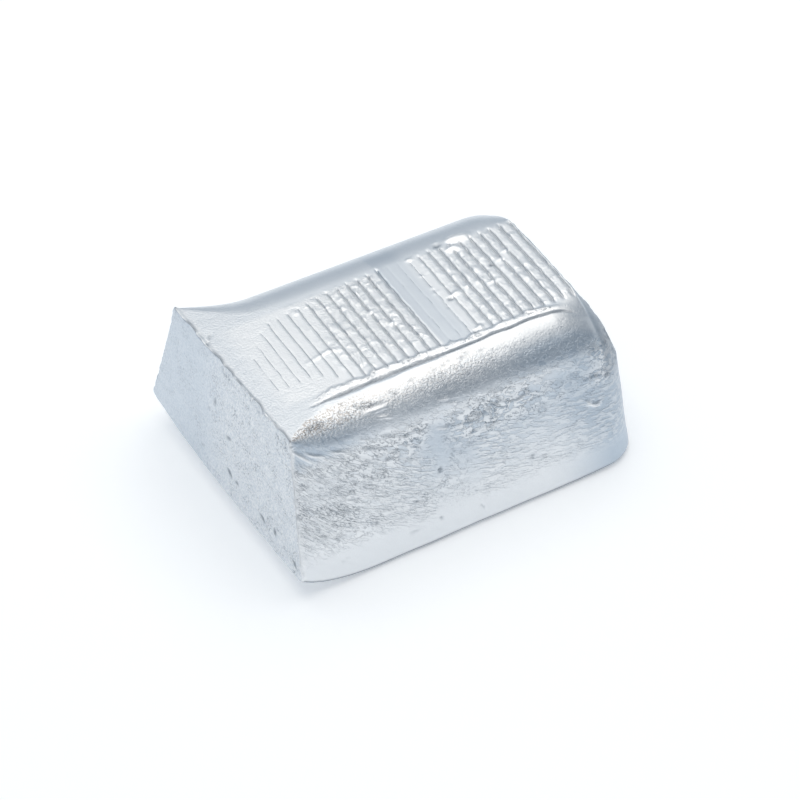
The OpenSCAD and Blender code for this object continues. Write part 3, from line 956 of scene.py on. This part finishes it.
# Painted shadow: dark this far under the border of a peeled patch, here and there
LEDGE_SHADOW_REACH = 0.16 * MM
LEDGE_SHADOW_PATCHES, LEDGE_SHADOW_LEAST = 0.5, 0.15
# Share of the film taken off a crest as a painted highlight, and the strength of each colour laid
# over it, the groove line being painted shade
CREST_HIGHLIGHT = 0.8
STAIN_STRENGTH, GROOVE_SHADE_STRENGTH, DIRT_AND_SHADE_STRENGTH = 0.8, 0.6, 0.75
# How much rougher the grains of dressing are
GRAIN_ROUGHNESS = 0.08


def cast_alloy(look):
    """As-cast aluminium master alloy, poured in a dressed iron mould: a satin grey-white skin
    with a matt grain where the dressing was coarse, peeled and streaked where metal flowed
    over set metal, and near mirror-smooth where it froze at once. Dressing stays in its pits."""
    material, tree = new_material("as_cast_aluminium_skin")

    def lumps(source, size, detail=2.0, low=0.3, high=0.7, curl=0.0):
        """Noise in lumps of a size in millimetres, spread over 0 to 1 with crisp borders."""
        scaled = add_node(tree, "ShaderNodeVectorMath", {
            0: source, 1: tuple(1 / (mm * MM) for mm in size)}, operation="MULTIPLY")
        noise = add_node(tree, "ShaderNodeTexNoise", {
            "Vector": scaled, "Scale": 1.0, "Detail": detail, "Roughness": 0.6,
            "Distortion": curl})
        return add_node(tree, "ShaderNodeMapRange", {
            "Value": noise, "From Min": low, "From Max": high}, interpolation_type="SMOOTHSTEP")

    def masks(name):
        """The three masks of one of the skin's attributes."""
        kept = add_node(tree, "ShaderNodeAttribute", attribute_name=name).outputs["Color"]
        return add_node(tree, "ShaderNodeSeparateColor", {"Color": kept}).outputs

    place = add_node(tree, "ShaderNodeTexCoord").outputs["Object"]
    flow = add_node(tree, "ShaderNodeAttribute", attribute_name="flow").outputs["Vector"]
    polish, soot_and_shade, stain = masks("finish")
    peeled, streaked, sugared = masks("texture")
    filmed, specked, from_groove = masks("cover")
    # Real dressing grain is about 0.2 mm across. Grain, sugar and specks are drawn twice as
    # coarse, so that they show. Peeled patches are 1.8 by 1 mm and streaks 2.4 by 0.6 mm.
    grain = lumps(place, (0.42, 0.42, 0.42))
    peel = lumps(flow, (1.8, 1.1, 1.0), 3.0, 0.46, 0.52, 0.7)
    streak = lumps(flow, (2.4, 1.2, 0.6), 2.0, 0.42, 0.58)
    sugar = lumps(place, (0.5, 0.42, 0.42), 2.0, 0.38, 0.6)
    speck = lumps(flow, (0.62, 0.42, 0.36), 2.0, 0.53, 0.66)
    patchy = lumps(place, (3.4, 3.2, 2.4), 2.0, 0.45, 0.60)
    warm = lumps(place, (0.42, 0.34, 0.34), 2.0, 0.47, 0.58)
    above = add_node(tree, "ShaderNodeVectorMath", {0: flow, 1: (0, 0, LEDGE_SHADOW_REACH)},
                     operation="ADD")
    ledge = lumps(above, (1.8, 1.1, 1.0), 3.0, 0.46, 0.52, 0.7)
    line = add_node(tree, "ShaderNodeMapRange", {
        "Value": from_groove, "From Min": LINE_REACH[0], "From Max": LINE_REACH[1],
        "To Min": 1.0, "To Max": 0.0}, interpolation_type="SMOOTHSTEP")
    specks = add_node(tree, MATHS, {0: speck, 1: patchy}, operation="MULTIPLY")
    specks = add_node(tree, MATHS, {0: specks, 1: specked}, operation="MULTIPLY")

    # Relief: grain where the skin is matt, patterns that stand up from it, and fine pits
    matt = add_node(tree, MATHS, {0: 1.0, 1: polish}, operation="SUBTRACT")
    height = add_node(tree, MATHS, {0: grain, 1: matt}, operation="MULTIPLY")
    height = add_node(tree, MATHS, {0: height, 1: look.grain}, operation="MULTIPLY")
    crest = 0.0
    for pattern, mask, size in ((peel, peeled, look.peel), (streak, streaked, look.streak),
                                (sugar, sugared, look.sugar)):
        proud = add_node(tree, MATHS, {0: pattern, 1: mask}, operation="MULTIPLY")
        height = add_node(tree, MATHS, {0: proud, 1: size, 2: height}, operation="MULTIPLY_ADD")
        crest = add_node(tree, MATHS, {0: proud, 1: crest}, operation="MAXIMUM")
    for pattern, depth in ((specks, look.specks), (line, LINE_DEPTH)):
        height = add_node(tree, MATHS, {0: pattern, 1: -depth, 2: height},
                          operation="MULTIPLY_ADD")

    # Colour: oxide film and painted shade, thinned on the crests as a painted highlight, warm
    # grains, dressing in the pits, and painted shade in grooves and under the borders of peeled
    # patches
    thin = add_node(tree, MATHS, {0: crest, 1: -CREST_HIGHLIGHT, 2: 1.0}, operation="MULTIPLY_ADD")
    film = add_node(tree, MATHS, {0: filmed, 1: thin}, operation="MULTIPLY")
    warm = add_node(tree, MATHS, {0: warm, 1: stain}, operation="MULTIPLY")
    warm = add_node(tree, MATHS, {0: warm, 1: STAIN_STRENGTH}, operation="MULTIPLY")
    ledge_shadow = add_node(tree, MATHS, {0: ledge, 1: peel}, operation="SUBTRACT")
    ledge_shadow = add_node(tree, MATHS, {0: ledge_shadow, 1: peeled}, operation="MULTIPLY")
    some = add_node(tree, MATHS, {0: patchy, 1: LEDGE_SHADOW_PATCHES, 2: LEDGE_SHADOW_LEAST},
                    operation="MULTIPLY_ADD")
    ledge_shadow = add_node(tree, MATHS, {0: ledge_shadow, 1: some}, operation="MULTIPLY")
    line = add_node(tree, MATHS, {0: line, 1: GROOVE_SHADE_STRENGTH}, operation="MULTIPLY")
    dirt_and_shade = soot_and_shade
    for pattern in (specks, ledge_shadow, line):
        dirt_and_shade = add_node(tree, MATHS, {0: dirt_and_shade, 1: pattern}, operation="MAXIMUM")
    dirt_and_shade = add_node(tree, MATHS, {0: dirt_and_shade, 1: DIRT_AND_SHADE_STRENGTH}, operation="MULTIPLY")
    colour = (*look.bright, 1)
    for share, layer in ((film, look.dull_and_shade), (warm, look.stain), (dirt_and_shade, look.soot_and_shade)):
        colour = add_node(tree, "ShaderNodeMix", {
            "Factor": share, "A": colour, "B": (*layer, 1)}, data_type="RGBA").outputs["Result"]

    rough = add_node(tree, MATHS, {0: grain, 1: GRAIN_ROUGHNESS, 2: look.roughness},
                     operation="MULTIPLY_ADD")
    rough = add_node(tree, MATHS, {0: polish, 1: -look.polish, 2: rough},
                     operation="MULTIPLY_ADD")
    bump = add_node(tree, "ShaderNodeBump", {"Strength": 1.0, "Distance": 1.0, "Height": height})
    shader = add_node(tree, "ShaderNodeBsdfPrincipled", {
        "Base Color": colour, "Metallic": 1.0, "Roughness": rough, "Normal": bump})
    add_node(tree, "ShaderNodeOutputMaterial", {"Surface": shader})
    return material


# Share of white that the table adds to itself for the lens and in the metal
TABLE_GLOW = 0.28


def pale_table(look):
    """Matt laminate table: it renders white to the lens and in the metal, and keeps shadows."""
    material, tree = new_material("matt_white_laminate")
    path = add_node(tree, "ShaderNodeLightPath").outputs
    seen = add_node(tree, MATHS, {0: path["Is Camera Ray"], 1: path["Is Glossy Ray"]},
                    operation="MAXIMUM")
    glow = add_node(tree, MATHS, {0: seen, 1: TABLE_GLOW}, operation="MULTIPLY")
    laminate = add_node(tree, "ShaderNodeBsdfDiffuse", {"Color": (*look.floor, 1)})
    white = add_node(tree, "ShaderNodeEmission", {"Color": (*look.floor, 1), "Strength": glow})
    shader = add_node(tree, "ShaderNodeAddShader", {0: laminate, 1: white})
    add_node(tree, "ShaderNodeOutputMaterial", {"Surface": shader})
    return material


# ---------------------------------------------------------------- stage

FLOOR_SIZE = 6.0
# Point of the bar that the camera looks at, and what it can see, near and far
AIM = (-2.61 * MM, -4.34 * MM, 14.39 * MM)
SENSOR_WIDTH = 36.0
CLIP_NEAR, CLIP_FAR = 0.01, 20.0
# The lamp stands this far behind and to the right of the bar
LAMP_ASIDE = 0.14
# The room light turns from dim to pale over these slopes across the horizon, and to its
# overhead colour over these
SIDE_TURN = (-0.2, 0.6)
OVERHEAD_TURN = (0.3, 1.0)


def make_floor(look):
    bm = bmesh.new()
    bmesh.ops.create_grid(bm, x_segments=2, y_segments=2, size=FLOOR_SIZE / 2)
    mesh = bpy.data.meshes.new("table")
    bm.to_mesh(mesh)
    bm.free()
    mesh.materials.append(pale_table(look))
    floor = bpy.data.objects.new("table", mesh)
    bpy.context.scene.collection.objects.link(floor)


def make_room_light(look):
    """Even room light: pale overhead, and dimmer at the horizon in front than behind."""
    world = bpy.data.worlds.new("studio")
    world.use_nodes = True
    tree = world.node_tree
    tree.nodes.clear()
    ray = add_node(tree, "ShaderNodeTexCoord").outputs["Generated"]
    way = add_node(tree, "ShaderNodeSeparateXYZ", {"Vector": ray}).outputs
    behind = add_node(tree, "ShaderNodeMapRange", {
        "Value": way["Y"], "From Min": SIDE_TURN[0], "From Max": SIDE_TURN[1]})
    overhead = add_node(tree, "ShaderNodeMapRange", {
        "Value": way["Z"], "From Min": OVERHEAD_TURN[0], "From Max": OVERHEAD_TURN[1]},
        interpolation_type="SMOOTHSTEP")
    colour = (*look.dim_side, 1)
    for share, light in ((behind, look.pale_side), (overhead, look.overhead)):
        colour = add_node(tree, "ShaderNodeMix", {
            "Factor": share, "A": colour, "B": (*light, 1)}, data_type="RGBA").outputs["Result"]
    sky = add_node(tree, "ShaderNodeBackground", {"Color": colour})
    add_node(tree, "ShaderNodeOutputWorld", {"Surface": sky})
    bpy.context.scene.world = world


def make_lamp(look):
    lamp = bpy.data.lights.new("soft_box", "AREA")
    lamp.shape = "SQUARE"
    lamp.size = look.lamp_size
    lamp.energy = look.lamp_power
    lamp.color = look.lamp
    box = bpy.data.objects.new("soft_box", lamp)
    box.location = (LAMP_ASIDE, LAMP_ASIDE, look.lamp_height)
    bpy.context.scene.collection.objects.link(box)


def make_camera(look):
    data = bpy.data.cameras.new("camera")
    data.lens = look.lens
    data.sensor_width = SENSOR_WIDTH
    data.clip_start, data.clip_end = CLIP_NEAR, CLIP_FAR
    camera = bpy.data.objects.new("camera", data)
    flat = math.cos(look.elevation)
    back = Vector((math.sin(look.azimuth) * flat, -math.cos(look.azimuth) * flat,
                   math.sin(look.elevation)))
    camera.location = Vector(AIM) + back * look.distance
    camera.rotation_mode = "QUATERNION"
    roll = Quaternion((0, 0, 1), look.roll)
    camera.rotation_quaternion = (-back).to_track_quat("-Z", "Y") @ roll
    bpy.context.scene.collection.objects.link(camera)
    bpy.context.scene.camera = camera


# ---------------------------------------------------------------- operators and panel


class INGOT_OT_casting(bpy.types.Operator):
    """Makes the ingot's cast skin and its metal"""
    bl_idname = "ingot.casting"
    bl_label = "Cast the ingot"

    def execute(self, context):
        scene = context.scene
        lines = (EDGE_LINES + PITCH_LINES * scene.ingot_relief.grooves + END_LINES,
                 sum(TOP_LINES), sum(WALL_LINES))
        bm = cut_box(lines)
        mesh = shape_casting(bm, scene.ingot_sizes, scene.ingot_relief)
        mesh.materials.append(cast_alloy(scene.ingot_metal))
        piece = bpy.data.objects.new("cast_ingot", mesh)
        scene.collection.objects.link(piece)
        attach(piece, "root")
        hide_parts(NODE)
        return {"FINISHED"}


class INGOT_OT_studio(bpy.types.Operator):
    """Makes the table, the soft light and the camera"""
    bl_idname = "ingot.studio"
    bl_label = "Set the studio"

    def execute(self, context):
        look = context.scene.ingot_studio
        make_floor(look)
        make_room_light(look)
        make_lamp(look)
        make_camera(look)
        context.scene.view_settings.view_transform = "Standard"
        return {"FINISHED"}


class INGOT_PT_panel(bpy.types.Panel):
    """Sizes and looks of the ingot"""
    bl_idname = "INGOT_PT_panel"
    bl_label = "Master alloy ingot"
    bl_space_type = "VIEW_3D"
    bl_region_type = "UI"
    bl_category = "Ingot"

    def draw(self, context):
        layout = self.layout
        layout.operator(INGOT_OT_casting.bl_idname)
        layout.operator(INGOT_OT_studio.bl_idname)
        for group, _ in GROUPS:
            settings = getattr(context.scene, group)
            column = layout.column()
            for name in settings.__annotations__:
                column.prop(settings, name)


GROUPS = (("ingot_sizes", IngotSizes), ("ingot_relief", ReliefSizes),
          ("ingot_metal", MetalLook), ("ingot_studio", StudioLook))
CLASSES = (IngotSizes, ReliefSizes, MetalLook, StudioLook,
           INGOT_OT_casting, INGOT_OT_studio, INGOT_PT_panel)


def register():
    for cls in CLASSES:
        bpy.utils.register_class(cls)
    for name, group in GROUPS:
        setattr(bpy.types.Scene, name, bpy.props.PointerProperty(type=group))


def unregister():
    for name, _ in GROUPS:
        delattr(bpy.types.Scene, name)
    for cls in reversed(CLASSES):
        bpy.utils.unregister_class(cls)


def main():
    register()
    bpy.ops.ingot.studio()
    bpy.ops.ingot.casting()


if __name__ == "__main__":
    main()
